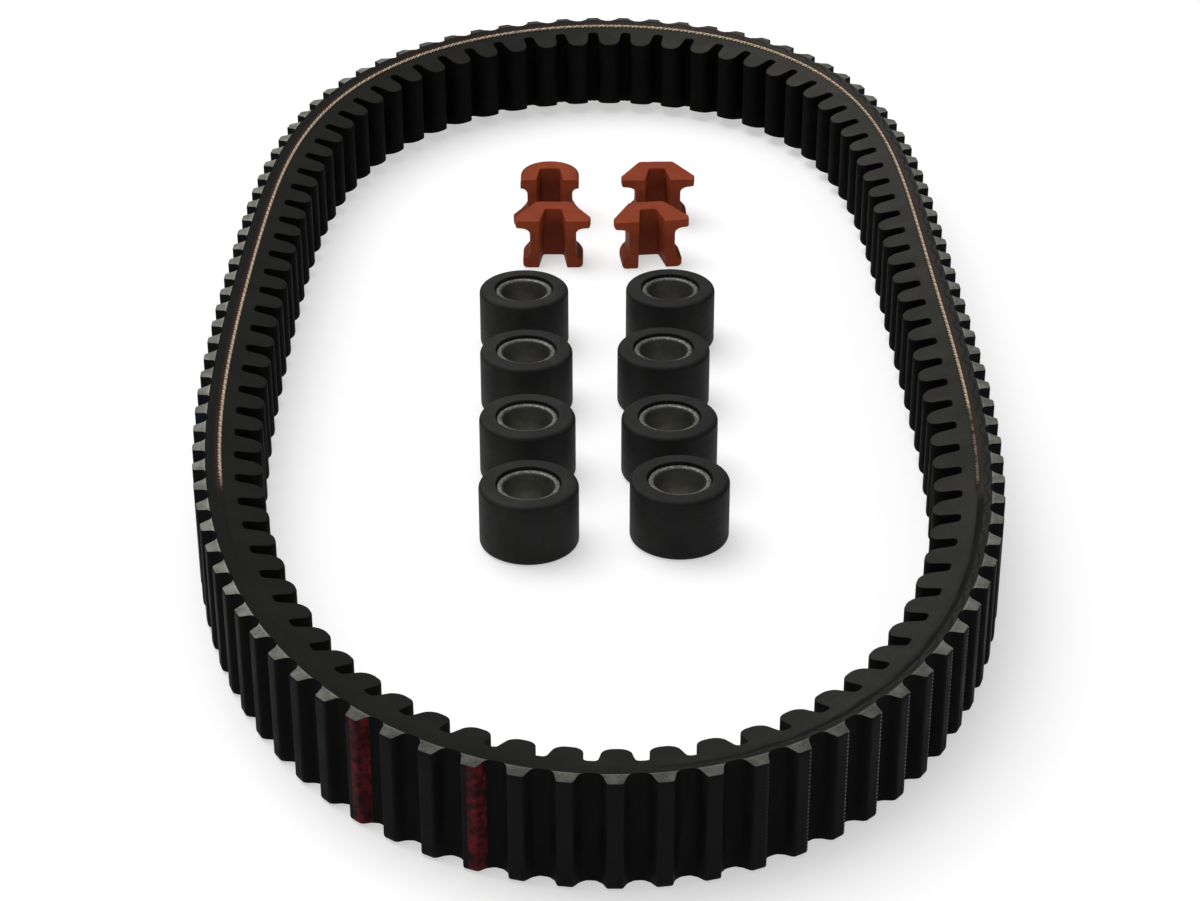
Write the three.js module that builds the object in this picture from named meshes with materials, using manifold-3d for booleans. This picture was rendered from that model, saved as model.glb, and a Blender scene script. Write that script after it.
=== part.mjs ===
// CVT service set: a double-cogged drive belt standing on its edge as an oval loop, and inside the
// loop eight roller weights and four slider shoes, each standing on end. Millimetres, +Z up, +Y towards
// the far end of the loop, origin under the middle of the loop on the surface that everything rests on.
import * as THREE from "three";
import { mergeVertices } from "three/addons/utils/BufferGeometryUtils.js";
import Module from "manifold-3d";

const wasm = await Module();
wasm.setup();

// ---------------------------------------------------------------- driving dimensions

const LAYER_GAP = 0.3;                 // clearance drawn between two bonded layers

// belt section: heights are measured outwards from the line of the tension cord
const BELT_WIDTH = 27.8;               // top width, at the ridge
const FLANK_ANGLE = 14;                // degrees, each flank, 28 degrees included
const RIDGE = 3.3;                     // widest line of the section, root of the outer cogs
const CROWN = 6.4;                     // top of the outer cogs, whose flat ends the belt stands on
const CORD_THICKNESS = 0.9;
const ADHESION_INNER = -1.9;           // inner side of the adhesion rubber
const INNER_ROOT = -3.8;               // root of the inner cogs
const INNER_TIP = -10.6;               // tip of the inner cogs

// cogs
const OUTER_COGS = 108;
const OUTER_CROWN_WIDTH = 3.4;
const OUTER_BASE_WIDTH = 5.7;
const OUTER_ROOT_RISE = 0.2;           // the root between two outer cogs stands this far above the ridge
const OUTER_SHIFT = 0.61;              // where the first outer cog lies, in pitches
const INNER_COGS = 89;
const INNER_TIP_WIDTH = 2.8;
const INNER_SHOULDER_WIDTH = 6.4;
const INNER_SHOULDER = 0.76;           // share of the cog's height at its shoulder
const INNER_BASE_WIDTH = 8.2;
const INNER_SHIFT = 0.64;              // where the first inner cog lies, in pitches
const PLAIN_STATIONS = 120;            // sections round a layer that has no cogs
const LOOP_SAMPLES = 6000;

// oval loop of the tension cord: centre, then the cosine and sine terms of the first three harmonics
const LOOP_CENTRE = [1.5, 10.0];
const LOOP_X = [[105.6, 0], [-2.1, -1.9], [-11.2, -0.5]];
const LOOP_Y = [[-3.4, 203.2], [10.0, 0.8], [-0.4, -7.7]];

// roller weights
const ROLLER_HEIGHT = 16.8;
const ROLLER_RADIUS = 12.5;
const ROLLER_EDGE = 0.8;               // chamfer round each end
const SLEEVE_BORE = 8.05;              // radius
const CORE_RADIUS = 7.75;
const CORE_BORE = 6.5;                 // radius
const CORE_RECESS = 1.0;               // how far each end of the core sits inside the sleeve
const ROLLER_SIDES = 24;
const ROLLER_PLACES = [
  [-15.8, -76.4], [-16.9, -41.4], [-18.0, -4.1], [-19.5, 33.2],
  [21.8, -73.9], [19.9, -41.6], [19.1, -2.9], [21.7, 33.9],
];

// slider shoes, drawn with the slot opening towards -Y from the front face at y = 0
const SHOE_HEIGHT = 15.2;
const WING_THICKNESS = 2.4;            // angular flange, at its tips
const WING_FRONT = 10.95;              // half widths of the angular flange
const WING_TIP = 11.3;
const WING_REAR = 4.9;
const WING_TIP_DEPTH = 3.2;
const WING_DEPTH = 14.4;
const WING_FILLET = 2.0;               // drop of the underside from the wing tips to the neck
const FOOT_THICKNESS = 3.0;            // rounded flange
const FOOT_HALF = 8.9;
const FOOT_STRAIGHT = 6.5;
const NECK_HALF = 6.6;
const NECK_DEPTH = 12.6;
const NECK_CHAMFER = 2.2;
const SLOT_FRONT = 3.8;                // half widths of the slot
const SLOT_BACK = 2.1;
const SLOT_DEPTH = 9.0;
const CUT_MARGIN = 1.0;                // how far a cutting or joining shape runs past a face
const SHOE_PLACES = [
  { at: [-12.1, 81.1], turn: 0, flipped: false },
  { at: [17.5, 81.1], turn: 7, flipped: false },
  { at: [-13.5, 111.1], turn: 0, flipped: true },
  { at: [19.7, 111.1], turn: 2, flipped: false },
];

// ---------------------------------------------------------------- materials

const RUBBER = new THREE.MeshStandardMaterial({ color: 0x2f302e, roughness: 0.85, metalness: 0 });
const ADHESION = new THREE.MeshStandardMaterial({ color: 0x3a3b39, roughness: 0.85, metalness: 0 });
const CORD = new THREE.MeshStandardMaterial({ color: 0xb7a68f, roughness: 0.9, metalness: 0 });
const SLEEVE = new THREE.MeshStandardMaterial({ color: 0x262726, roughness: 0.7, metalness: 0 });
const CORE = new THREE.MeshStandardMaterial({ color: 0x8d8f8c, roughness: 0.35, metalness: 1 });
const SHOE = new THREE.MeshStandardMaterial({ color: 0x7c3626, roughness: 0.6, metalness: 0 });

// ---------------------------------------------------------------- the oval loop

function harmonic(centre, terms, angle) {
  return terms.reduce(
    (sum, [c, s], k) => sum + c * Math.cos((k + 1) * angle) + s * Math.sin((k + 1) * angle),
    centre,
  );
}

function harmonicSlope(terms, angle) {
  return terms.reduce(
    (sum, [c, s], k) => sum + (k + 1) * (s * Math.cos((k + 1) * angle) - c * Math.sin((k + 1) * angle)),
    0,
  );
}

// a point of the loop, moved out from the tension cord along the outward normal
function loopPoint(angle, outward) {
  const dx = harmonicSlope(LOOP_X, angle);
  const dy = harmonicSlope(LOOP_Y, angle);
  const speed = Math.hypot(dx, dy);
  return new THREE.Vector2(
    harmonic(LOOP_CENTRE[0], LOOP_X, angle) + (outward * dy) / speed,
    harmonic(LOOP_CENTRE[1], LOOP_Y, angle) - (outward * dx) / speed,
  );
}

// turns a distance along the line at `outward` into the loop's angle, and back
function loopRuler(outward) {
  const travelled = [0];
  let last = loopPoint(0, outward);
  for (let i = 1; i <= LOOP_SAMPLES; i += 1) {
    const next = loopPoint((2 * Math.PI * i) / LOOP_SAMPLES, outward);
    travelled.push(travelled[i - 1] + next.distanceTo(last));
    last = next;
  }
  const length = travelled[LOOP_SAMPLES];
  const angleAt = (distance) => {
    const wanted = ((distance % length) + length) % length;
    let low = 0;
    let high = LOOP_SAMPLES;
    while (high - low > 1) {
      const middle = (low + high) >> 1;
      if (travelled[middle] <= wanted) low = middle;
      else high = middle;
    }
    const share = (wanted - travelled[low]) / (travelled[high] - travelled[low]);
    return (2 * Math.PI * (low + share)) / LOOP_SAMPLES;
  };
  const distanceAt = (angle) => {
    const place = (angle / (2 * Math.PI)) * LOOP_SAMPLES;
    const low = Math.min(Math.floor(place), LOOP_SAMPLES - 1);
    return travelled[low] + (place - low) * (travelled[low + 1] - travelled[low]);
  };
  return { length, angleAt, distanceAt };
}

// ---------------------------------------------------------------- belt layers

const BELT_MIDDLE = BELT_WIDTH / 2;
const FLANK_SLOPE = Math.tan(THREE.MathUtils.degToRad(FLANK_ANGLE));

// half the belt's width at a height above the tension cord
function halfWidth(height) {
  return BELT_MIDDLE - Math.max(0, RIDGE - height) * FLANK_SLOPE;
}

// A closed ring from sections round the loop. Each section is a list of heights, taken up one side of
// the belt and down the other, so the ring is closed round the loop and round the section.
function ring(sections) {
  const count = sections[0].heights.length;
  const positions = [];
  for (const { angle, heights } of sections) {
    for (const height of heights) {
      const p = loopPoint(angle, height);
      positions.push(p.x, p.y, BELT_MIDDLE - halfWidth(height));
    }
    for (const height of [...heights].reverse()) {
      const p = loopPoint(angle, height);
      positions.push(p.x, p.y, BELT_MIDDLE + halfWidth(height));
    }
  }
  const round = 2 * count;
  const index = [];
  for (let i = 0; i < sections.length; i += 1) {
    const here = i * round;
    const there = ((i + 1) % sections.length) * round;
    for (let j = 0; j < round; j += 1) {
      const k = (j + 1) % round;
      index.push(here + j, there + j, there + k, here + j, there + k, here + k);
    }
  }
  const geometry = new THREE.BufferGeometry();
  geometry.setAttribute("position", new THREE.Float32BufferAttribute(positions, 3));
  geometry.setIndex(index);
  geometry.computeVertexNormals();
  return geometry;
}

// a layer with no cogs, between two heights
function plainLayer(inner, outer) {
  const ruler = loopRuler(0);
  const sections = [];
  for (let i = 0; i < PLAIN_STATIONS; i += 1) {
    const angle = ruler.angleAt((ruler.length * i) / PLAIN_STATIONS);
    sections.push({ angle, heights: [inner, outer] });
  }
  return ring(sections);
}

// Sections round a row of equal cogs. The cogs are spaced evenly along the tension cord, which keeps
// its length when the belt bends, and each cog keeps its width along the row's root line. A profile is
// a list of [distance from the cog's middle, height] and heightsAt gives the section at each height.
function cogLayer(cogs, shift, root, profile, heightsAt) {
  const cord = loopRuler(0);
  const rootLine = loopRuler(root);
  const pitch = cord.length / cogs;
  const sections = [];
  for (let cog = 0; cog < cogs; cog += 1) {
    const middle = rootLine.distanceAt(cord.angleAt((cog + shift) * pitch));
    for (const [along, height] of profile) {
      const angle = rootLine.angleAt(middle + along);
      sections.push({ angle, heights: heightsAt(height) });
    }
  }
  return ring(sections);
}

function overcord() {
  const inner = CORD_THICKNESS / 2 + LAYER_GAP;
  const profile = [
    [-OUTER_BASE_WIDTH / 2, RIDGE + OUTER_ROOT_RISE],
    [-OUTER_CROWN_WIDTH / 2, CROWN],
    [OUTER_CROWN_WIDTH / 2, CROWN],
    [OUTER_BASE_WIDTH / 2, RIDGE + OUTER_ROOT_RISE],
  ];
  return cogLayer(OUTER_COGS, OUTER_SHIFT, RIDGE, profile, (top) => [inner, RIDGE, top]);
}

function undercord() {
  const outer = ADHESION_INNER - LAYER_GAP;
  const shoulder = INNER_ROOT + (INNER_TIP - INNER_ROOT) * INNER_SHOULDER;
  const profile = [
    [-INNER_BASE_WIDTH / 2, INNER_ROOT],
    [-INNER_SHOULDER_WIDTH / 2, shoulder],
    [-INNER_TIP_WIDTH / 2, INNER_TIP],
    [INNER_TIP_WIDTH / 2, INNER_TIP],
    [INNER_SHOULDER_WIDTH / 2, shoulder],
    [INNER_BASE_WIDTH / 2, INNER_ROOT],
  ];
  return cogLayer(INNER_COGS, INNER_SHIFT, INNER_ROOT, profile, (tip) => [tip, outer]);
}

// ---------------------------------------------------------------- roller weights

// a ring turned about +Z from a closed profile of [radius, height] points
function turned(profile) {
  const points = [...profile, profile[0]].map(([r, z]) => new THREE.Vector2(r, z));
  return new THREE.LatheGeometry(points, ROLLER_SIDES).rotateX(Math.PI / 2);
}

function rollerSleeve() {
  return turned([
    [SLEEVE_BORE, 0],
    [ROLLER_RADIUS - ROLLER_EDGE, 0],
    [ROLLER_RADIUS, ROLLER_EDGE],
    [ROLLER_RADIUS, ROLLER_HEIGHT - ROLLER_EDGE],
    [ROLLER_RADIUS - ROLLER_EDGE, ROLLER_HEIGHT],
    [SLEEVE_BORE, ROLLER_HEIGHT],
  ]);
}

function rollerCore() {
  return turned([
    [CORE_BORE, CORE_RECESS],
    [CORE_RADIUS, CORE_RECESS],
    [CORE_RADIUS, ROLLER_HEIGHT - CORE_RECESS],
    [CORE_BORE, ROLLER_HEIGHT - CORE_RECESS],
  ]);
}

// ---------------------------------------------------------------- slider shoes

function solid(geometry) {
  geometry.deleteAttribute("normal");
  geometry.deleteAttribute("uv");
  const merged = mergeVertices(geometry);
  return new wasm.Manifold(new wasm.Mesh({
    numProp: 3,
    vertProperties: new Float32Array(merged.attributes.position.array),
    triVerts: new Uint32Array(merged.index.array),
  }));
}

function geometryOf(manifold) {
  const mesh = manifold.getMesh();
  const geometry = new THREE.BufferGeometry();
  geometry.setAttribute("position", new THREE.Float32BufferAttribute(mesh.vertProperties, 3));
  geometry.setIndex([...mesh.triVerts]);
  geometry.computeVertexNormals();
  return geometry;
}

// a plan outline raised from one height to another
function slab(outline, from, to) {
  const extrude = new THREE.ExtrudeGeometry(outline, {
    depth: to - from,
    bevelEnabled: false,
    curveSegments: 10,
  });
  return solid(extrude.translate(0, 0, from));
}

function polygon(points) {
  return new THREE.Shape(points.map(([x, y]) => new THREE.Vector2(x, y)));
}

function wingPlan() {
  return polygon([
    [-WING_FRONT, 0],
    [WING_FRONT, 0],
    [WING_TIP, WING_TIP_DEPTH],
    [WING_REAR, WING_DEPTH],
    [-WING_REAR, WING_DEPTH],
    [-WING_TIP, WING_TIP_DEPTH],
  ]);
}

// front view of the angular flange, with the underside swept up into the neck
function wingFront() {
  const shape = new THREE.Shape();
  const under = SHOE_HEIGHT - WING_THICKNESS;
  const neck = under - WING_FILLET;
  shape.moveTo(-WING_TIP, SHOE_HEIGHT);
  shape.lineTo(-WING_TIP, under);
  shape.quadraticCurveTo(-NECK_HALF, under, -NECK_HALF, neck);
  shape.lineTo(NECK_HALF, neck);
  shape.quadraticCurveTo(NECK_HALF, under, WING_TIP, under);
  shape.lineTo(WING_TIP, SHOE_HEIGHT);
  shape.closePath();
  return shape;
}

function footPlan() {
  const shape = new THREE.Shape();
  shape.moveTo(-FOOT_HALF, 0);
  shape.lineTo(FOOT_HALF, 0);
  shape.lineTo(FOOT_HALF, FOOT_STRAIGHT);
  shape.absarc(0, FOOT_STRAIGHT, FOOT_HALF, 0, Math.PI, false);
  shape.lineTo(-FOOT_HALF, 0);
  return shape;
}

function neckPlan() {
  return polygon([
    [-NECK_HALF, 0],
    [NECK_HALF, 0],
    [NECK_HALF, NECK_DEPTH - NECK_CHAMFER],
    [NECK_HALF - NECK_CHAMFER, NECK_DEPTH],
    [NECK_CHAMFER - NECK_HALF, NECK_DEPTH],
    [-NECK_HALF, NECK_DEPTH - NECK_CHAMFER],
  ]);
}

function slotPlan() {
  const mouth = SLOT_FRONT + ((SLOT_FRONT - SLOT_BACK) * CUT_MARGIN) / SLOT_DEPTH;
  return polygon([
    [-mouth, -CUT_MARGIN],
    [mouth, -CUT_MARGIN],
    [SLOT_BACK, SLOT_DEPTH],
    [-SLOT_BACK, SLOT_DEPTH],
  ]);
}

function shoe() {
  const swept = new THREE.ExtrudeGeometry(wingFront(), {
    depth: WING_DEPTH + 2 * CUT_MARGIN,
    bevelEnabled: false,
    curveSegments: 4,
  }).rotateX(Math.PI / 2).translate(0, WING_DEPTH + CUT_MARGIN, 0);
  const wing = slab(wingPlan(), 0, SHOE_HEIGHT).intersect(solid(swept));
  const neck = slab(neckPlan(), FOOT_THICKNESS - CUT_MARGIN, SHOE_HEIGHT - CUT_MARGIN);
  const foot = slab(footPlan(), 0, FOOT_THICKNESS);
  const slot = slab(slotPlan(), -CUT_MARGIN, SHOE_HEIGHT + CUT_MARGIN);
  return geometryOf(wing.add(neck).add(foot).subtract(slot));
}

// ---------------------------------------------------------------- assembly

const set = new THREE.Group();

function add(name, geometry, material, parent = set) {
  const mesh = new THREE.Mesh(geometry, material);
  mesh.name = name;
  parent.add(mesh);
  return mesh;
}

add("belt_overcord", overcord(), RUBBER);
add("belt_tension_cord", plainLayer(-CORD_THICKNESS / 2, CORD_THICKNESS / 2), CORD);
add("belt_adhesion_rubber", plainLayer(ADHESION_INNER, -CORD_THICKNESS / 2 - LAYER_GAP), ADHESION);
add("belt_undercord", undercord(), RUBBER);

ROLLER_PLACES.forEach(([x, y], i) => {
  const roller = new THREE.Group();
  roller.position.set(x, y, 0);
  add(`roller_${i + 1}_sleeve`, rollerSleeve(), SLEEVE, roller);
  add(`roller_${i + 1}_core`, rollerCore(), CORE, roller);
  set.add(roller);
});

SHOE_PLACES.forEach(({ at, turn, flipped }, i) => {
  const holder = new THREE.Group();
  holder.position.set(at[0], at[1], 0);
  holder.rotation.z = THREE.MathUtils.degToRad(turn);
  const mesh = add(`slider_${i + 1}`, shoe(), SHOE, holder);
  if (flipped) {
    mesh.rotation.y = Math.PI;
    mesh.position.z = SHOE_HEIGHT;
  }
  set.add(holder);
});

export default set;
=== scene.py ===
"""CVT service set: looks of the belt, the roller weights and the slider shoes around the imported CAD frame.

Everything is in metres in the CAD frame: +Z up, +Y from the rollers towards the sliders.
"""
import math

import bmesh
import bpy
import numpy as np
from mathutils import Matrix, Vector


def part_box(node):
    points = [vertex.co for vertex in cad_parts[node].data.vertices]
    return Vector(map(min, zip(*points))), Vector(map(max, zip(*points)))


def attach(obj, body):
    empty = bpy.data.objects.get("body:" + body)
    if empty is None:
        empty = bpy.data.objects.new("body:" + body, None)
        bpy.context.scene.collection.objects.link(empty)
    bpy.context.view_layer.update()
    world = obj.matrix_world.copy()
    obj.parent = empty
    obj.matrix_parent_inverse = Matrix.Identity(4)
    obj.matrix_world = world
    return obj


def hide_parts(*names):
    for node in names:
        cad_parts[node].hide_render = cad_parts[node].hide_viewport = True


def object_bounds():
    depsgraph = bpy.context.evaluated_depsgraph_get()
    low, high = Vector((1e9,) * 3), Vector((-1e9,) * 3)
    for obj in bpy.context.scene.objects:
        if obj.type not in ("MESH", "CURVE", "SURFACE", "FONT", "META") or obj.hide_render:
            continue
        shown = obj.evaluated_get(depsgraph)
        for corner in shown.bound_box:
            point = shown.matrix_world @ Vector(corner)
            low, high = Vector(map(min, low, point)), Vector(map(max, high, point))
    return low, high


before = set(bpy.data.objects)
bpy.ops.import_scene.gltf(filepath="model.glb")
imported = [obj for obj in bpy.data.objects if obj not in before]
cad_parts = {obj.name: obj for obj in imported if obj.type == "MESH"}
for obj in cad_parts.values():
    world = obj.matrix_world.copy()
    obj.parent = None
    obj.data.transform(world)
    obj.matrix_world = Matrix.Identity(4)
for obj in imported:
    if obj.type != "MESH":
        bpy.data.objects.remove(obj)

CAD_BOX = [[float(value) for value in corner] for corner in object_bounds()]
MM = 0.001
TAU = 2 * math.pi

# ------------------------------------------------------------------ driving dimensions, in millimetres

# belt section: heights are measured outwards from the line of the tension cord
BELT_WIDTH = 27.8
FLANK_SLOPE = math.tan(math.radians(14))
RIDGE = 3.3
CROWN = 6.4
CROWN_DROP = 0.42
OUTER_ROOT = 2.85            # the valleys dip just below the ridge and notch it
OUTER_CROWN_HALF, OUTER_BASE_HALF = 1.58, 2.95
OUTER_ROOT_FILLET, OUTER_CROWN_FILLET = 2.2, 0.6
OUTER_COLUMNS = 26           # of the mesh across a crown
UPPER_CORNER, LOWER_CORNER = 0.16, 0.8   # where a crown meets its bevelled ends
INNER_ROOT = -3.8
INNER_TIP = -10.6
INNER_TIP_HALF, INNER_BASE_HALF = 3.2, 3.95
INNER_ROOT_FILLET, INNER_TIP_FILLET = 1.2, 2.95
INNER_COLUMNS = 10
TIP_EDGE = 0.32              # how far the rounding of a tip's end draws it in
BAND_LOW, BAND_HIGH = -0.9, 1.4          # the adhesion rubber that shows beside the cord
OUTER_COGS = 108
OUTER_SHIFT = 0.61           # where the first outer cog lies, in pitches
INNER_COGS = 89
INNER_SHIFT = 0.64
BAND_STEP = 0.8              # between the band's sections round the loop
RED_COGS, BLUE_COG = (73, 76), 58        # outer cogs with a plain paint stripe
STRIPE = (0.45, 0.80)        # the stripe's place, in pitches

# oval loop of the tension cord: centre, then the cosine and sine terms of the first three harmonics
LOOP_CENTRE = (1.5, 10.0)
LOOP_X = ((105.6, 0), (-2.1, -1.9), (-11.2, -0.5))
LOOP_Y = ((-3.4, 203.2), (10.0, 0.8), (-0.4, -7.7))
LOOP_SAMPLES = 20000

# tension cord
CORD_RADIUS = 0.46           # of the two plies together
CORD_HEIGHT = -0.20          # of the visible turn above the loop's line
CORD_DRIFT = 0.4             # how far that turn runs inwards of it at the far end
CORD_STEP = 0.4
CORD_LAY = 2.8               # length of one full twist
CORD_PROUD = 0.08            # how far its middle stands above the ground flank
CORD_SUNK = 0.85             # how far it lies below the rubber where the near end of the loop covers it
PLIES = 2
PLY_SIDES = 6

# roller weights
ROLLER_HEIGHT = 16.8
ROLLER_RADIUS = 12.5
ROLLER_ROUND = 1.3
SLEEVE_BORE = 8.22
CORE_RADIUS = 8.05
CORE_BORE = 6.45
CORE_RECESS = 0.75
ROLLERS = 8
SLEEVE_SIDES, CORE_SIDES = 128, 112

# slider shoes, drawn with the slot opening towards -Y from the front face at y = 0
SHOE_HEIGHT = 15.2
WING_THICKNESS = 2.4
WING_FRONT, WING_TIP, WING_REAR = 10.95, 11.3, 5.2
WING_TIP_DEPTH, WING_DEPTH = 3.2, 14.4
WING_FILLET = 2.0
FOOT_THICKNESS, FOOT_HALF, FOOT_STRAIGHT = 3.0, 8.95, 6.5
FOOT_ROUND = 1.3             # of the foot's lower rim
FOOT_FILLET = 1.8            # between the foot and the neck
FLUSH = 0.01                 # step between faces that lie flush, so that no two cut faces coincide
NECK_HALF, NECK_DEPTH, NECK_CHAMFER = 6.85, 12.6, 2.2
SLOT_DEPTH = 9.0
SLOT_AT_WING = (3.9, 2.35)   # half-widths at the mouth and at the back
SLOT_AT_FOOT = (4.2, 3.05)
SHOE_GRAIN = 0.2             # of the skin that rounds all edges
SHOE_SOFTEN = 12
SHOE_TURNS = {1: 0, 2: 7, 3: 0, 4: 2}    # degrees about +Z
FLIPPED_SHOE = 3

# stage: place in metres, size in metres and power in watts of each light
LIGHTS = (
    ("overhead", (-0.8, 0.75, 2.4), 2.2, 58.0),
)
SURROUND = 0.38              # strength of the pale surround
FLOOR_GLOW = 0.5             # strength of the floor's own light, which keeps it near white
FLOOR_REACH = 40.0

# camera: place in millimetres, angle below the horizon in degrees, focal length in millimetres
CAMERA_PLACE = (1.9, -690.4, 371.7)
CAMERA_DIP = 29.38
CAMERA_LENS = 85.8


# ------------------------------------------------------------------ curves

def harmonic(centre, terms, angle):
    """One coordinate of the loop: a centre and a cosine and a sine term for each harmonic."""
    total = np.full_like(angle, centre, dtype=float)
    for k, (cosine, sine) in enumerate(terms, 1):
        total += cosine * np.cos(k * angle) + sine * np.sin(k * angle)
    return total


def harmonic_slope(terms, angle):
    total = np.zeros_like(angle, dtype=float)
    for k, (cosine, sine) in enumerate(terms, 1):
        total += k * (sine * np.cos(k * angle) - cosine * np.sin(k * angle))
    return total


def loop_frame(angle):
    """Points of the tension cord's loop and its outward normals, as two arrays of x, y."""
    dx = harmonic_slope(LOOP_X, angle)
    dy = harmonic_slope(LOOP_Y, angle)
    speed = np.hypot(dx, dy)
    points = np.stack([harmonic(LOOP_CENTRE[0], LOOP_X, angle), harmonic(LOOP_CENTRE[1], LOOP_Y, angle)], -1)
    return points, np.stack([dy / speed, -dx / speed], -1)


class Ruler:
    """Turns a distance along the line at one height above the cord into the loop's angle."""

    def __init__(self, height):
        self.angles = np.linspace(0, TAU, LOOP_SAMPLES + 1)
        points, normals = loop_frame(self.angles)
        line = points + normals * height
        steps = np.hypot(*np.diff(line, axis=0).T)
        self.travelled = np.concatenate([[0], np.cumsum(steps)])
        self.length = self.travelled[-1]

    def angle_at(self, distance):
        return np.interp(np.mod(distance, self.length), self.travelled, self.angles)

    def distance_at(self, angle):
        return np.interp(angle, self.angles, self.travelled)


def step(value, low, high):
    """0 at low and 1 at high, with a smooth step between."""
    share = np.clip((value - low) / (high - low), 0, 1)
    return share * share * (3 - 2 * share)


def rounded(corners, steps=4):
    """An open outline of (x, y, radius) corners, with each corner turned into an arc of `steps` chords."""
    points = []
    last = len(corners) - 1
    for i, (x, y, radius) in enumerate(corners):
        here = np.array([x, y], float)
        if i in (0, last) or radius == 0:
            points.append(here)
            continue
        back = np.array(corners[i - 1][:2], float) - here
        ahead = np.array(corners[i + 1][:2], float) - here
        back /= np.hypot(*back)
        ahead /= np.hypot(*ahead)
        half = math.acos(np.clip(back @ ahead, -1, 1)) / 2
        middle = here + (back + ahead) / np.hypot(*(back + ahead)) * radius / math.sin(half)
        start = here + back * radius / math.tan(half) - middle
        end = here + ahead * radius / math.tan(half) - middle
        sweep = math.atan2(start[0] * end[1] - start[1] * end[0], start @ end)
        for k in range(steps + 1):
            turn = sweep * k / steps
            spin = np.array([[math.cos(turn), -math.sin(turn)], [math.sin(turn), math.cos(turn)]])
            points.append(middle + spin @ start)
    return np.array(points)


def rounded_loop(corners, steps=4):
    """The same for a closed outline."""
    wrapped = [corners[-1], *corners, corners[0]]
    return rounded([(x, y, r) for x, y, r in wrapped], steps)[1:-1]


# ------------------------------------------------------------------ meshes

def mesh_object(name, points, quads, materials, slots=None, uvs=None):
    """A smooth-shaded piece. points in millimetres, quads as indices, uvs as {layer: per-corner values}."""
    mesh = bpy.data.meshes.new(name)
    points = np.asarray(points, float) * MM
    quads = np.asarray(quads, np.int32)
    mesh.vertices.add(len(points))
    mesh.vertices.foreach_set("co", points.ravel())
    mesh.loops.add(quads.size)
    mesh.loops.foreach_set("vertex_index", quads.ravel())
    mesh.polygons.add(len(quads))
    mesh.polygons.foreach_set("loop_start", np.arange(0, quads.size, quads.shape[1], dtype=np.int32))
    mesh.update(calc_edges=True)
    for material in materials:
        mesh.materials.append(material)
    if slots is not None:
        mesh.polygons.foreach_set("material_index", np.asarray(slots, np.int32))
    for layer, values in (uvs or {}).items():
        mesh.uv_layers.new(name=layer).data.foreach_set("uv", np.asarray(values, np.float32).ravel())
    mesh.shade_smooth()
    mesh.set_sharp_from_angle(angle=math.radians(50))
    mesh.validate()
    piece = bpy.data.objects.new(name, mesh)
    bpy.context.scene.collection.objects.link(piece)
    return piece


def torus_quads(rows, columns):
    """Quads over a grid that closes both ways, and for each its row and column."""
    row, column = np.meshgrid(np.arange(rows), np.arange(columns), indexing="ij")
    row, column = row.ravel(), column.ravel()
    next_row, next_column = (row + 1) % rows, (column + 1) % columns
    quads = np.stack([
        row * columns + column,
        next_row * columns + column,
        next_row * columns + next_column,
        row * columns + next_column,
    ], -1)
    return quads, row, column


# ------------------------------------------------------------------ node graphs

class Graph:
    """A small writer for a material's nodes."""

    def __init__(self, name):
        self.material = bpy.data.materials.new(name)
        self.material.use_nodes = True
        self.tree = self.material.node_tree
        self.shader = self.tree.nodes["Principled BSDF"]

    def add(self, kind, inputs=None, **settings):
        node = self.tree.nodes.new(kind)
        for key, value in settings.items():
            setattr(node, key, value)
        for key, value in (inputs or {}).items():
            self.put(node.inputs[key], value)
        return node

    def put(self, socket, value):
        if isinstance(value, bpy.types.NodeSocket):
            self.tree.links.new(value, socket)
        else:
            socket.default_value = value

    def set(self, **values):
        for key, value in values.items():
            self.put(self.shader.inputs[key.replace("_", " ")], value)

    def place(self):
        return self.add("ShaderNodeTexCoord").outputs["Object"]

    def axis(self, index):
        return self.add("ShaderNodeSeparateXYZ", {0: self.place()}).outputs[index]

    def uv(self, layer):
        node = self.add("ShaderNodeUVMap", uv_map=layer)
        parts = self.add("ShaderNodeSeparateXYZ", {0: node.outputs[0]})
        return parts.outputs[0], parts.outputs[1]

    def math(self, operation, a, b=0.0, c=0.0):
        return self.add("ShaderNodeMath", {0: a, 1: b, 2: c}, operation=operation).outputs[0]

    def vector(self, x, y, z=0.0):
        return self.add("ShaderNodeCombineXYZ", {0: x, 1: y, 2: z}).outputs[0]

    def noise(self, size_mm, where=None, detail=3.0, roughness=0.55):
        """Noise from 0 to 1 whose features are about size_mm across."""
        return self.add("ShaderNodeTexNoise", {
            "Vector": where if where is not None else self.place(),
            "Scale": 1 / (size_mm * MM),
            "Detail": detail,
            "Roughness": roughness,
        }).outputs["Fac"]

    def ramp(self, value, low, high, start=0.0, end=1.0):
        """value from low..high mapped smoothly to start..end."""
        return self.add("ShaderNodeMapRange", {
            "Value": value, "From Min": low, "From Max": high, "To Min": start, "To Max": end,
        }, interpolation_type="SMOOTHSTEP").outputs[0]

    def mix(self, share, a, b):
        node = self.add("ShaderNodeMix", data_type="RGBA")
        self.put(node.inputs[0], share)
        self.put(node.inputs[6], (*a, 1) if isinstance(a, tuple) else a)
        self.put(node.inputs[7], (*b, 1) if isinstance(b, tuple) else b)
        return node.outputs[2]

    def scale(self, colour, factor):
        return self.add("ShaderNodeVectorMath", {0: colour, 3: factor}, operation="SCALE").outputs[0]

    def tint(self, colour, factors):
        return self.add("ShaderNodeVectorMath", {0: colour, 1: factors}, operation="MULTIPLY").outputs[0]

    def bump(self, height, strength, distance_mm, before=None):
        inputs = {"Height": height, "Strength": strength, "Distance": distance_mm * MM}
        if before is not None:
            inputs["Normal"] = before
        return self.add("ShaderNodeBump", inputs).outputs[0]


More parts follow.
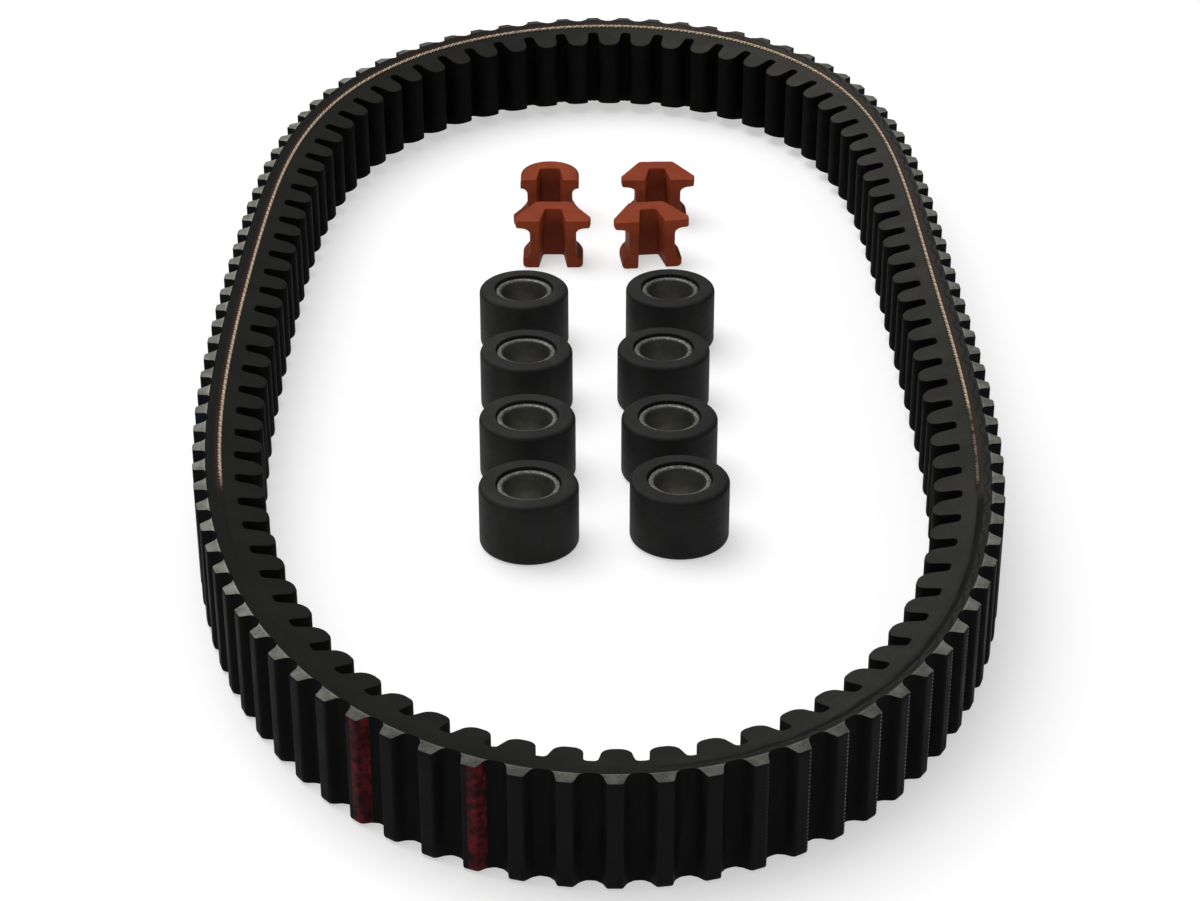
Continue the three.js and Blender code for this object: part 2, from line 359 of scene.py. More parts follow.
def rows(g, distance, period_mm):
    """A wave from 0 to 1 along a distance in metres."""
    wave = g.math("SINE", g.math("MULTIPLY", distance, TAU / (period_mm * MM)))
    return g.math("MULTIPLY_ADD", wave, 0.5, 0.5)


# ------------------------------------------------------------------ belt materials

def towards_right(g, low_mm, high_mm):
    """0 to the left of low_mm and 1 to the right of high_mm."""
    return g.ramp(g.axis(0), low_mm * MM, high_mm * MM)


def towards_rear(g, low_mm, high_mm):
    return g.ramp(g.axis(1), low_mm * MM, high_mm * MM)


def ground_rubber(g, dark, light, speck):
    """Colour, roughness and normal of a ground side of the belt: grit and long faint grinding lines. The
    right and the far stretches are painted lighter than the left: painted light, with some dust."""
    height, _ = g.uv("section")
    along, _ = g.uv("surface")
    grain = g.noise(0.35, detail=4)
    blotch = g.noise(11.0, detail=4)
    lines = g.noise(1.0, g.vector(g.math("MULTIPLY", along, 0.06), g.math("MULTIPLY", height, 3.0)), detail=2)
    colour = g.mix(g.ramp(blotch, 0.35, 0.68), dark, light)
    colour = g.mix(g.ramp(grain, 0.52, 0.78, 0.0, 0.6), colour, speck)
    colour = g.mix(g.ramp(lines, 0.55, 0.8, 0.0, 0.4), colour, tuple(0.55 * c for c in dark))
    # painted light, with some dust: the right and the far stretches are made lighter, as if lit from the left
    # and the rear
    right = towards_right(g, -60, 90)
    rear = g.math("MULTIPLY", towards_rear(g, -80, 215), g.math("MULTIPLY_ADD", right, 0.65, 0.35))
    colour = g.scale(colour, g.ramp(g.math("ADD", right, rear), 0.0, 1.9, 0.46, 1.75))
    colour = g.mix(g.math("MULTIPLY", g.ramp(g.noise(28.0, detail=2), 0.42, 0.62), 0.6), colour,
                   g.tint(colour, (1.06, 0.96, 1.02)))
    g.set(Roughness=g.ramp(grain, 0.3, 0.8, 0.74, 0.9))
    g.set(Specular_IOR_Level=0.10)
    rough = g.bump(grain, 0.5, 0.05)
    g.set(Normal=g.bump(lines, 0.35, 0.05, rough))
    return colour


def flank_material():
    """The ground sides of the belt between the cord and the inner cogs: greenish grey rubber."""
    g = Graph("belt_flank")
    colour = ground_rubber(g, (0.0175, 0.0180, 0.0150), (0.0245, 0.0250, 0.0212), (0.046, 0.046, 0.040))
    g.set(Base_Color=colour)
    return g.material


def shoulder_material():
    """The ground side between the cord and the outer cogs: the same rubber, with a thin dark arc under
    each cog where the moulded layer dips."""
    g = Graph("belt_shoulder")
    colour = ground_rubber(g, (0.0150, 0.0152, 0.0135), (0.0200, 0.0202, 0.0180), (0.036, 0.036, 0.032))
    height, pitches = g.uv("section")
    wave = g.math("ABSOLUTE", g.math("SINE", g.math("MULTIPLY", pitches, math.pi)))
    arc = g.math("MULTIPLY_ADD", wave, 1.5 * MM, 1.05 * MM)
    ragged = g.math("MULTIPLY", g.math("SUBTRACT", g.noise(1.6, detail=2), 0.5), 0.7 * MM)
    offset = g.math("ABSOLUTE", g.math("SUBTRACT", g.math("ADD", arc, ragged), height))
    line = g.ramp(offset, 0.5 * MM, 0.1 * MM, 0.0, 0.8)
    colour = g.mix(line, colour, (0.0075, 0.0075, 0.0072))
    rear = g.ramp(g.axis(1), 150 * MM, 205 * MM)
    colour = g.mix(rear, colour, g.tint(colour, (1.60, 1.22, 1.15)))
    g.set(Base_Color=colour)
    return g.material


def band_material():
    """The adhesion rubber round the cord: black, stained brown beside the cord where that shows."""
    g = Graph("belt_adhesion_band")
    colour = ground_rubber(g, (0.0160, 0.0162, 0.0143), (0.0215, 0.0218, 0.0190), (0.036, 0.036, 0.032))
    height, cover = g.uv("section")
    ragged = g.noise(1.3, detail=3)
    beside = g.ramp(g.math("ABSOLUTE", height), 1.3 * MM, 0.55 * MM)
    stain = g.math("MULTIPLY", g.math("MULTIPLY", beside, g.ramp(ragged, 0.25, 0.6, 0.35, 1.0)),
                   g.ramp(cover, 0.7, 0.3))
    outer_side = g.ramp(height, -0.2 * MM, 0.3 * MM)
    brown = g.mix(outer_side, (0.020, 0.017, 0.006), (0.046, 0.017, 0.009))
    colour = g.mix(g.math("MULTIPLY", stain, 0.85), colour, brown)
    # painted shade: the worn groove at the near right is darkened along its length; a thin dark seam also
    # runs along the covered cord line
    across_groove = g.math("ADD", height, g.math("MULTIPLY_ADD", g.noise(7.0, detail=4), 2.0 * MM, -1.7 * MM))
    groove_shade = g.ramp(g.math("ABSOLUTE", across_groove), 1.0 * MM, 0.4 * MM, 0.0, 0.95)
    groove_shade = g.math("MULTIPLY", groove_shade, towards_right(g, 0, 30))
    seam = g.ramp(g.math("ABSOLUTE", height), 0.35 * MM, 0.05 * MM)
    seam = g.math("MULTIPLY", seam, towards_rear(g, -135, -115))
    colour = g.mix(g.math("MULTIPLY", g.ramp(cover, 0.5, 1.0), g.math("MAXIMUM", groove_shade, seam)), colour,
                   (0.0055, 0.0054, 0.0060))
    g.set(Base_Color=colour)
    return g.material


def cog_end_material():
    """The bevelled ends of the outer cogs: scuffed pale, with dark specks, and painted light that makes
    them lighter on the left and the far right and darker at the rear.
    """
    g = Graph("belt_cog_end")
    grain = g.noise(0.25, detail=5, roughness=0.7)
    specks = g.noise(0.55, detail=3)
    patch = g.noise(4.0, detail=3)
    colour = g.mix(g.ramp(patch, 0.35, 0.7), (0.055, 0.057, 0.048), (0.103, 0.105, 0.091))
    colour = g.mix(g.ramp(grain, 0.48, 0.72, 0.0, 0.75), colour, (0.190, 0.192, 0.170))
    colour = g.mix(g.ramp(specks, 0.60, 0.72, 0.0, 0.75), colour, (0.020, 0.020, 0.018))
    # painted light: the ends are made lighter on the left and the far right and darker at the rear
    left = g.ramp(g.axis(0), -40 * MM, -85 * MM, 1.0, 2.05)
    right = g.ramp(g.axis(0), 60 * MM, 90 * MM, 1.0, 1.42)
    rear = g.ramp(g.axis(1), 170 * MM, 205 * MM, 1.0, 0.55)
    colour = g.scale(colour, g.math("MULTIPLY", g.math("MULTIPLY", left, right), rear))
    height, _ = g.uv("section")
    colour = g.scale(colour, g.ramp(height, (RIDGE + 0.1) * MM, (RIDGE + 0.7) * MM, 1.35, 1.0))
    g.set(Base_Color=colour, Roughness=g.ramp(grain, 0.3, 0.7, 0.8, 0.92))
    g.set(Specular_IOR_Level=0.15)
    g.set(Normal=g.bump(grain, 0.6, 0.06))
    return g.material


def stripe(g, pitches, cog):
    """A mask of a plain worn paint stripe along one outer cog."""
    low, high = STRIPE
    index = g.math("FLOOR", pitches)
    phase = g.math("SUBTRACT", pitches, index)
    above, below = g.math("GREATER_THAN", index, cog - 0.5), g.math("LESS_THAN", index, cog + 0.5)
    on_cog = g.math("MULTIPLY", above, below)
    inside = g.math("MULTIPLY", g.ramp(phase, low, low + 0.03), g.ramp(phase, high, high - 0.03))
    flaked = g.ramp(g.noise(1.8, detail=3), 0.35, 0.62, 0.15, 1.0)
    thinned = g.ramp(g.noise(7.0), 0.3, 0.6, 0.4, 1.0)
    worn = g.math("MULTIPLY", flaked, thinned)
    return g.math("MULTIPLY", g.math("MULTIPLY", on_cog, inside), worn)


def facing_material():
    """The rubberised woven facing over the outer cogs: near black, with thread beads along the crowns'
    edges, painted pale as highlights at the near right, and a few plain paint stripes in faded red and blue."""
    g = Graph("belt_facing")
    along, across = g.uv("surface")
    height, pitches = g.uv("section")
    thread = 0.8
    weave = g.math("MULTIPLY", rows(g, along, thread), rows(g, across, thread))
    half = thread / 2 * MM
    along_half, across_half = g.math("ADD", along, half), g.math("ADD", across, half)
    between = g.math("MULTIPLY", rows(g, along_half, thread), rows(g, across_half, thread))
    cloth = g.math("MAXIMUM", weave, between)
    dirt = g.noise(9.0, detail=4)
    streak = g.noise(3.0, g.vector(along, g.math("MULTIPLY", across, 0.12)), detail=3)
    colour = g.mix(g.ramp(dirt, 0.35, 0.7), (0.0030, 0.0029, 0.0031), (0.0055, 0.0053, 0.0054))
    colour = g.mix(g.ramp(streak, 0.5, 0.75, 0.0, 0.5), colour, (0.0088, 0.0086, 0.0086))
    crest = g.ramp(height, 5.4 * MM, 6.35 * MM)
    colour = g.mix(g.math("MULTIPLY", crest, 0.6), colour, (0.0075, 0.0073, 0.0073))
    phase = g.math("FRACT", pitches)
    # thread beads on the crowns' edges, painted pale as highlights where the near right cogs catch the light
    beads_and_glints = g.math("MULTIPLY", g.ramp(phase, 0.60, 0.615), g.ramp(phase, 0.69, 0.67))
    beads_and_glints = g.math("MULTIPLY", beads_and_glints, g.ramp(rows(g, across, 0.95), 0.3, 0.8))
    beads_and_glints = g.math("MULTIPLY", beads_and_glints, g.math("MULTIPLY", towards_right(g, 30, 70), towards_rear(g, 60, 0)))
    colour = g.mix(g.math("MULTIPLY", beads_and_glints, 0.8), colour, (0.22, 0.22, 0.21))
    red = g.math("MAXIMUM", *(stripe(g, pitches, cog) for cog in RED_COGS))
    colour = g.mix(g.math("MULTIPLY", red, 0.5), colour, (0.205, 0.014, 0.022))
    blue = stripe(g, pitches, BLUE_COG)
    colour = g.mix(g.math("MULTIPLY", blue, 0.5), colour, (0.006, 0.016, 0.055))
    g.set(Base_Color=colour, Roughness=g.ramp(dirt, 0.3, 0.7, 0.62, 0.8))
    g.set(Specular_IOR_Level=0.06)
    raised = g.math("ADD", g.math("MULTIPLY", cloth, 0.35), beads_and_glints)
    fine = g.bump(raised, 0.5, 0.10)
    g.set(Normal=g.bump(g.noise(0.5, detail=3), 0.3, 0.05, fine))
    return g.material


def inner_material():
    """The moulded inner cogs: near black rubber with a dull sheen, faint mould lines and dust."""
    g = Graph("belt_inner_cogs")
    along, across = g.uv("surface")
    height, _ = g.uv("section")
    soft = g.noise(5.0, detail=3)
    fine = g.noise(0.4, detail=4)
    streak = g.noise(2.2, g.vector(along, g.math("MULTIPLY", across, 0.1)), detail=3)
    colour = g.mix(g.ramp(soft, 0.35, 0.7), (0.0028, 0.0028, 0.0027), (0.0044, 0.0044, 0.0042))
    colour = g.mix(g.ramp(streak, 0.5, 0.75, 0.0, 0.5), colour, (0.0060, 0.0060, 0.0058))
    tip = g.ramp(height, -9.6 * MM, -10.6 * MM)
    colour = g.mix(g.math("MULTIPLY", tip, 0.3), colour, (0.0062, 0.0062, 0.0060))
    g.set(Base_Color=colour, Roughness=g.ramp(streak, 0.3, 0.75, 0.68, 0.84))
    g.set(Specular_IOR_Level=0.03)
    lined = g.bump(streak, 0.25, 0.08)
    g.set(Normal=g.bump(fine, 0.3, 0.04, lined))
    return g.material


def cord_material():
    """The tan cord: two plies of pale fibre, grubby in places, black where the rubber thins over it."""
    g = Graph("belt_cord")
    fibre_along, fibre_round = g.uv("surface")
    cover, ply = g.uv("section")
    fibre = g.noise(0.5, g.vector(g.math("MULTIPLY", fibre_along, 0.3), fibre_round), detail=3)
    colour = g.mix(g.ramp(fibre, 0.3, 0.7), (0.42, 0.325, 0.225), (0.72, 0.585, 0.440))
    colour = g.scale(colour, g.math("MULTIPLY_ADD", ply, -0.34, 1.0))
    colour = g.mix(towards_rear(g, 120, 200), colour, g.scale(colour, 1.3))
    colour = g.mix(g.ramp(g.noise(9.0, detail=3), 0.55, 0.75, 0.0, 0.5), colour, (0.20, 0.125, 0.075))
    colour = g.mix(g.ramp(cover, 0.0, 0.25, 0.0, 0.8), colour, (0.105, 0.090, 0.072))
    patchy = g.math("ADD", cover, g.math("MULTIPLY", g.math("SUBTRACT", g.noise(2.2, detail=3), 0.5), 0.8))
    colour = g.mix(g.ramp(patchy, 0.22, 0.52), colour, (0.019, 0.018, 0.016))
    g.set(Base_Color=colour, Roughness=g.ramp(fibre, 0.3, 0.7, 0.78, 0.92))
    g.set(Specular_IOR_Level=0.15)
    g.set(Normal=g.bump(fibre, 0.5, 0.05))
    return g.material


# ------------------------------------------------------------------ belt

def cog_stations(cogs, shift, root, profile):
    """Angles round the loop, heights, surface distance and pitch number of every section of a cog row, and
    the distance and pitch number at its end.

    The cogs are evenly spaced along the cord, and each keeps its own width along its root line."""
    cord, base = Ruler(0), Ruler(root)
    along, height = profile[:, 0], profile[:, 1]
    walked = np.concatenate([[0], np.cumsum(np.hypot(np.diff(along), np.diff(height)))])
    middles = base.distance_at(cord.angle_at((np.arange(cogs) + shift) * cord.length / cogs))
    gaps = np.mod(np.roll(middles, -1) - middles, base.length)
    number = np.repeat(np.arange(cogs), len(profile) - 1)
    along, height, walked_here = (np.tile(v[:-1], cogs) for v in (along, height, walked))
    # the flat between two cogs takes up what their spacing leaves
    valley = -along[0]
    share = np.where(along < 0, np.roll(gaps, 1)[number], gaps[number]) / (2 * valley)
    along = np.where(np.abs(along) >= valley, along * share, along)
    angles = base.angle_at(middles[number] + along)
    distance = number * walked[-1] + walked_here
    pitches = number + 0.5 + along / (2 * valley)
    return angles, height, distance, pitches, walked[-1] * cogs, cogs


def belt_ring(name, stations, section, materials, band_slots):
    """A ring of the belt. section(height) gives for each station the heights and half-widths from the
    middle of one side face to the other; band_slots is the material of each band round the section."""
    angles, height, walked, pitches, walked_end, pitch_end = stations
    points, normals = loop_frame(angles)
    heights, sides = section(height)
    rows_count, columns = heights.shape
    x = points[:, None, 0] + normals[:, None, 0] * heights
    y = points[:, None, 1] + normals[:, None, 1] * heights
    z = BELT_WIDTH / 2 + sides
    quads, row, column = torus_quads(rows_count, columns)
    next_row, next_column = (row + 1) % rows_count, (column + 1) % columns
    last = row == rows_count - 1
    walked_next = np.where(last, walked_end, walked[next_row])
    pitch_next = np.where(last, pitch_end + pitches[0], pitches[next_row])
    corner_rows = np.stack([row, next_row, next_row, row], -1)
    corner_columns = np.stack([column, column, next_column, next_column], -1)
    run = np.stack([walked[row], walked_next, walked_next, walked[row]], -1)
    turns = np.stack([pitches[row], pitch_next, pitch_next, pitches[row]], -1)
    surface = np.stack([run * MM, sides[corner_rows, corner_columns] * MM], -1)
    around = np.stack([heights[corner_rows, corner_columns] * MM, turns], -1)
    slots = np.asarray(band_slots)[column]
    return mesh_object(
        name, np.stack([x, y, z], -1).reshape(-1, 3), quads, materials, slots,
        {"surface": surface, "section": around},
    )


def flank(height):
    """Half-width of the belt at a height below the ridge."""
    return BELT_WIDTH / 2 - (RIDGE - height) * FLANK_SLOPE


def stack(rows_of_section):
    return np.stack([h for h, _ in rows_of_section], -1), np.stack([s for _, s in rows_of_section], -1)


def outer_half():
    """Overcord with the outer cogs and their facing: from beside the cord out to the crowns."""
    valley = Ruler(OUTER_ROOT).length / OUTER_COGS / 2
    profile = rounded([
        (-valley, OUTER_ROOT, 0),
        (-OUTER_BASE_HALF, OUTER_ROOT, OUTER_ROOT_FILLET),
        (-OUTER_CROWN_HALF, CROWN, OUTER_CROWN_FILLET),
        (OUTER_CROWN_HALF, CROWN, OUTER_CROWN_FILLET),
        (OUTER_BASE_HALF, OUTER_ROOT, OUTER_ROOT_FILLET),
        (valley, OUTER_ROOT, 0),
    ], steps=6)

    def section(top):
        zero = np.zeros_like(top)
        ledge = np.minimum(RIDGE, top)
        rise = top - ledge
        slope = CROWN_DROP / (CROWN - RIDGE)
        end = flank(ledge) - slope * rise

        def side(corner_at_crown):
            corner = np.minimum(corner_at_crown, 0.03 + rise * 0.4)
            foot = np.minimum(corner, rise * 0.25)
            return [
                (zero + BAND_HIGH, zero + flank(BAND_HIGH)),
                (zero + 1.8, zero + flank(1.8)),
                (ledge - 0.35, flank(ledge - 0.35)),
                (ledge - 0.05, flank(ledge - 0.05)),
                (ledge + rise * 0.001, flank(ledge) - 0.004),
                (ledge + rise * 0.02, flank(ledge) - slope * rise * 0.02 - 0.004),
                (top - rise * 0.35, end + slope * rise * 0.35),
                (top - foot, end + slope * foot),
                (top - foot * 0.29, end - corner * 0.29),
                (top, end - corner),
            ]

        up, down = side(UPPER_CORNER), side(LOWER_CORNER)
        share = np.linspace(0, 1, OUTER_COLUMNS)[1:-1]
        across = [(top, up[-1][1] * (1 - s) - down[-1][1] * s) for s in share]
        return stack(up + across + [(h, -s) for h, s in reversed(down)])

    one_side = [1, 1, 1, 1, 2, 2, 2, 0, 0]
    bands = one_side + [0] * (OUTER_COLUMNS - 1) + one_side[::-1] + [1]
    stations = cog_stations(OUTER_COGS, OUTER_SHIFT, OUTER_ROOT, profile)
    materials = [facing_material(), shoulder_material(), cog_end_material()]
    return belt_ring("belt_outer_half", stations, section, materials, bands)


def inner_half():
    """Undercord with the inner cogs: from beside the cord in to the tips."""
    valley = Ruler(INNER_ROOT).length / INNER_COGS / 2
    profile = rounded([
        (-valley, INNER_ROOT, 0),
        (-INNER_BASE_HALF, INNER_ROOT, INNER_ROOT_FILLET),
        (-INNER_TIP_HALF, INNER_TIP, INNER_TIP_FILLET),
        (INNER_TIP_HALF, INNER_TIP, INNER_TIP_FILLET),
        (INNER_BASE_HALF, INNER_ROOT, INNER_ROOT_FILLET),
        (valley, INNER_ROOT, 0),
    ], steps=8)

    def section(tip):
        zero = np.zeros_like(tip)
        up = [
            (tip, flank(tip) - TIP_EDGE),
            (tip + 0.06, flank(tip) - 0.10),
            (tip + 0.20, flank(tip + 0.20) - 0.01),
            (tip + 0.45, flank(tip + 0.45)),
            ((tip + INNER_ROOT) / 2 + 0.4, flank((tip + INNER_ROOT) / 2 + 0.4)),
            (zero + INNER_ROOT + 0.7, zero + flank(INNER_ROOT + 0.7)),
            (zero - 1.6, zero + flank(-1.6)),
            (zero + BAND_LOW, zero + flank(BAND_LOW)),
        ]
        down = [(h, -s) for h, s in reversed(up)]
        share = np.linspace(-1, 1, INNER_COLUMNS)[1:-1]
        across = [(tip, (flank(tip) - TIP_EDGE) * s) for s in share]
        return stack(up + down + across)

    bands = [1] + [0] * 13 + [1] * INNER_COLUMNS
    stations = cog_stations(INNER_COGS, INNER_SHIFT, INNER_ROOT, profile)
    return belt_ring("belt_inner_half", stations, section, [flank_material(), inner_material()], bands)


def cord_cover(points):
    """How far the rubber covers the cord, 0 to 1: it runs out sooner on the left than on the right."""
    x, y = points.T
    left = step(-y, 86, 108)
    right = 0.35 * step(-y, 52, 62) + 0.65 * step(-y, 92, 106)
    return np.where(x < 0, left, right)


def adhesion_band():
    """The rubber round the cord, smooth and flush, but worn to a wavy groove at the near right."""
    ruler = Ruler(0)
    count = int(ruler.length / BAND_STEP)
    distance = np.arange(count) * ruler.length / count
    angles = ruler.angle_at(distance)
    points, _ = loop_frame(angles)
    x, y = points.T
    near_right = step(x, 5, 45) * step(-y, 92, 108)
    wave = 0.5 + 0.3 * np.sin(distance / 5.1) + 0.2 * np.sin(distance / 1.9 + 1)
    depth = near_right * (0.22 + 0.36 * wave)

    def section(cover):
        shape = ((BAND_LOW, 0), (-0.5, 0.03), (0.0, 0.3), (0.4, 0.85), (0.7, 1), (1.0, 0.7), (BAND_HIGH, 0))
        up = [(0 * cover + height, flank(height) - depth * share) for height, share in shape]
        down = [(h, -s) for h, s in reversed(up)]
        return stack(up + down)

    covers = cord_cover(points)
    stations = angles, covers, distance, covers, ruler.length, 0
    return belt_ring("belt_adhesion_band", stations, section, [band_material()], [0] * 14)


def cord_edge(name, sign, material):
    """One visible turn of the tension cord: two plies twisted round each other along one flank."""
    ruler = Ruler(0)
    count = int(ruler.length / CORD_STEP)
    distance = np.arange(count) * ruler.length / count
    points, normals = loop_frame(ruler.angle_at(distance))
    cover = cord_cover(points)
    near = np.where(points[:, 0] < 0, cover, step(cover, 0.35, 1) + 0.12 * step(cover, 0, 0.35))
    centre_z = BELT_WIDTH / 2 + sign * (flank(0) + CORD_PROUD - CORD_SUNK * near)
    lean = CORD_HEIGHT - CORD_DRIFT * step(points[:, 1], 90, 190)
    twists = round(ruler.length / CORD_LAY)
    ply_radius = CORD_RADIUS * 0.56
    all_points, all_quads, all_runs, all_covers = [], [], [], []
    for ply in range(PLIES):
        lay = TAU * twists * distance / ruler.length + math.pi * ply
        out = np.cos(lay) * CORD_RADIUS * 0.5
        up = np.sin(lay) * CORD_RADIUS * 0.5
        ring_angle = TAU * np.arange(PLY_SIDES) / PLY_SIDES
        height = (lean + out)[:, None] + ply_radius * np.cos(ring_angle)[None]
        z = (centre_z + up)[:, None] + ply_radius * np.sin(ring_angle)[None]
        x = points[:, None, 0] + normals[:, None, 0] * height
        y = points[:, None, 1] + normals[:, None, 1] * height
        quads, row, column = torus_quads(count, PLY_SIDES)
        next_row = (row + 1) % count
        next_distance = np.where(row == count - 1, ruler.length, distance[next_row])
        run = np.stack([distance[row], next_distance, next_distance, distance[row]], -1)
        turn = np.stack([column, column, column + 1, column + 1], -1) * (TAU * ply_radius / PLY_SIDES)
        covers = np.stack([cover[row], cover[next_row], cover[next_row], cover[row]], -1)
        all_quads.append(quads + ply * count * PLY_SIDES)
        all_points.append(np.stack([x, y, z], -1).reshape(-1, 3))
        all_runs.append(np.stack([run, turn], -1) * MM)
        all_covers.append(np.stack([covers, np.full_like(covers, ply)], -1))
    layers = {"surface": np.concatenate(all_runs), "section": np.concatenate(all_covers)}
    return mesh_object(name, np.concatenate(all_points), np.concatenate(all_quads), [material], uvs=layers)


def make_belt():
    cord = cord_material()
    pieces = (
        (outer_half(), ("belt_overcord",), "belt_rubber"),
        (inner_half(), ("belt_undercord",), "belt_rubber"),
        (adhesion_band(), ("belt_adhesion_rubber",), "belt_rubber"),
        (cord_edge("belt_cord_upper_edge", 1, cord), ("belt_tension_cord",), "tension_cord"),
        (cord_edge("belt_cord_lower_edge", -1, cord), ("belt_tension_cord",), "tension_cord"),
    )
    for piece, nodes, slot in pieces:
        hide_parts(*nodes)
        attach(piece, "belt")


# ------------------------------------------------------------------ roller weights

def turned(name, profile, centre, sides, material, skew):
    """A closed profile of (radius, height) turned about the vertical through centre, in millimetres."""
    count = len(profile)
    angle = TAU * np.arange(sides) / sides + skew
    steps = np.hypot(*np.diff(np.vstack([profile, profile[:1]]), axis=0).T)
    walked = np.concatenate([[0], np.cumsum(steps)])
    x = centre[0] + np.cos(angle)[:, None] * profile[None, :, 0]
    y = centre[1] + np.sin(angle)[:, None] * profile[None, :, 0]
    z = centre[2] + np.zeros(sides)[:, None] + profile[None, :, 1]
    quads, row, column = torus_quads(sides, count)
    run = np.stack([walked[column], walked[column], walked[column + 1], walked[column + 1]], -1)
    turn = np.stack([row, row + 1, row + 1, row], -1) * (TAU * ROLLER_RADIUS / sides)
    return mesh_object(name, np.stack([x, y, z], -1).reshape(-1, 3), quads, [material],
                       uvs={"surface": np.stack([turn, run], -1) * MM})


def sleeve_profile():
    top = ROLLER_HEIGHT
    return rounded_loop([
        (SLEEVE_BORE, 0, 0.25),
        (ROLLER_RADIUS, 0, ROLLER_ROUND),
        (ROLLER_RADIUS, top, ROLLER_ROUND),
        (SLEEVE_BORE, top, 0.25),
        (SLEEVE_BORE, top - CORE_RECESS - 0.5, 0.05),
        (SLEEVE_BORE - 0.12, top - CORE_RECESS - 0.8, 0.05),
        (SLEEVE_BORE - 0.12, CORE_RECESS + 0.8, 0.05),
        (SLEEVE_BORE, CORE_RECESS + 0.5, 0.05),
    ], steps=6)


def core_profile():
    low, high = CORE_RECESS, ROLLER_HEIGHT - CORE_RECESS
    return rounded_loop([
        (CORE_BORE, low, 0.62),
        (CORE_RADIUS, low, 0.55),
        (CORE_RADIUS, high, 0.55),
        (CORE_BORE, high, 0.62),
    ], steps=6)


def sleeve_material():
    """Filled black polymer: charcoal, very slightly rough, with fine turning marks and pale scuffs."""
    g = Graph("roller_polymer")
    turn, run = g.uv("surface")
    fine = g.noise(0.5, detail=4)
    cloud = g.noise(7.0, detail=3)
    marks = g.noise(0.6, g.vector(g.math("MULTIPLY", turn, 0.02), run), detail=3)
    scuff = g.noise(2.5, g.vector(turn, g.math("MULTIPLY", run, 0.25)), detail=5, roughness=0.7)
    colour = g.mix(g.ramp(cloud, 0.35, 0.7), (0.0110, 0.0103, 0.0099), (0.0166, 0.0158, 0.0151))
    colour = g.mix(g.ramp(fine, 0.55, 0.75, 0.0, 0.4), colour, (0.024, 0.0235, 0.0225))
    colour = g.mix(g.ramp(scuff, 0.68, 0.80, 0.0, 0.3), colour, (0.038, 0.037, 0.035))
    # painted light: the top face is made lighter, and the rollers lighter on the left and darker on the right
    colour = g.scale(colour, g.ramp(g.axis(2), 15.9 * MM, 16.7 * MM, 1.0, 1.35))
    colour = g.scale(colour, g.ramp(g.axis(0), -55 * MM, 55 * MM, 1.15, 0.75))
    g.set(Base_Color=colour, Roughness=g.ramp(marks, 0.3, 0.7, 0.58, 0.68))
    g.set(Specular_IOR_Level=0.12)
    lathe = g.bump(marks, 0.10, 0.03)
    g.set(Normal=g.bump(fine, 0.18, 0.03, lathe))
    return g.material


def core_material():
    """Turned grey metal: satin, with fine rings, a little olive oil film and a speckled rim."""
    g = Graph("roller_core_metal")
    turn, run = g.uv("surface")
    marks = g.noise(0.22, g.vector(g.math("MULTIPLY", turn, 0.015), run), detail=3)
    film = g.noise(3.5, detail=3)
    specks = g.noise(0.6, detail=3)
    colour = g.mix(g.ramp(film, 0.35, 0.7), (0.150, 0.148, 0.125), (0.195, 0.192, 0.168))
    colour = g.mix(g.ramp(marks, 0.5, 0.75, 0.0, 0.4), colour, (0.27, 0.27, 0.25))
    twice_height = g.math("MULTIPLY", g.axis(2), 2.0)
    from_middle = g.math("ABSOLUTE", g.math("SUBTRACT", twice_height, ROLLER_HEIGHT * MM))
    rim = g.ramp(from_middle, (ROLLER_HEIGHT - 2.6) * MM, (ROLLER_HEIGHT - 1.7) * MM)
    speckled = g.mix(g.ramp(specks, 0.45, 0.60), g.scale(colour, 0.6), (0.20, 0.20, 0.19))
    colour = g.mix(rim, colour, speckled)
    g.set(Base_Color=colour, Roughness=g.ramp(marks, 0.3, 0.7, 0.48, 0.62))
    g.set(Metallic=1.0)
    g.set(Normal=g.bump(marks, 0.3, 0.03))
    return g.material


def make_rollers():
    polymer, metal = sleeve_material(), core_material()
    for number in range(1, ROLLERS + 1):
        low, high = (Vector(corner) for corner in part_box(f"roller_{number}_sleeve"))
        centre = ((low.x + high.x) / 2 / MM, (low.y + high.y) / 2 / MM, low.z / MM)
        skew = number * 2.4
        parts = (
            ("sleeve", sleeve_profile(), SLEEVE_SIDES, polymer),
            ("core", core_profile(), CORE_SIDES, metal),
        )
        for part, profile, sides, material in parts:
            piece = turned(f"roller_{number}_{part}_fine", profile, centre, sides, material, skew)
            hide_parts(f"roller_{number}_{part}")
            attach(piece, f"roller_{number}")


# ------------------------------------------------------------------ slider shoes

def loft(name, layers, upright=False):
    """A closed solid through outlines of equal count, as [(outline, place)]. The outlines are plans at
    rising heights or, if upright, front views at increasing depths."""
    count = len(layers[0][0])
    if upright:
        points = [(x, place, z) for outline, place in layers for x, z in outline]
    else:
        points = [(x, y, place) for outline, place in layers for x, y in outline]
    top = (len(layers) - 1) * count
    faces = [list(range(count)), list(range(top, top + count))]
    for start in range(0, top, count):
        for i in range(count):
            j = (i + 1) % count
            faces.append([start + i, start + j, start + count + j, start + count + i])
    mesh = bpy.data.meshes.new(name)
    mesh.from_pydata([tuple(c * MM for c in p) for p in points], [], faces)
    solid = bmesh.new()
    solid.from_mesh(mesh)
    bmesh.ops.recalc_face_normals(solid, faces=solid.faces)
    solid.to_mesh(mesh)
    solid.free()
    piece = bpy.data.objects.new(name, mesh)
    bpy.context.scene.collection.objects.link(piece)
    return piece


def apply_modifiers(piece):
    graph = bpy.context.evaluated_depsgraph_get()
    mesh = bpy.data.meshes.new_from_object(piece.evaluated_get(graph))
    piece.modifiers.clear()
    piece.data = mesh


def combine(piece, operation, other):
    """Applies a boolean of another piece, which is then removed."""
    cut = piece.modifiers.new("combine", "BOOLEAN")
    cut.operation = operation
    cut.solver = "EXACT"
    cut.object = other
    apply_modifiers(piece)
    bpy.data.objects.remove(other)


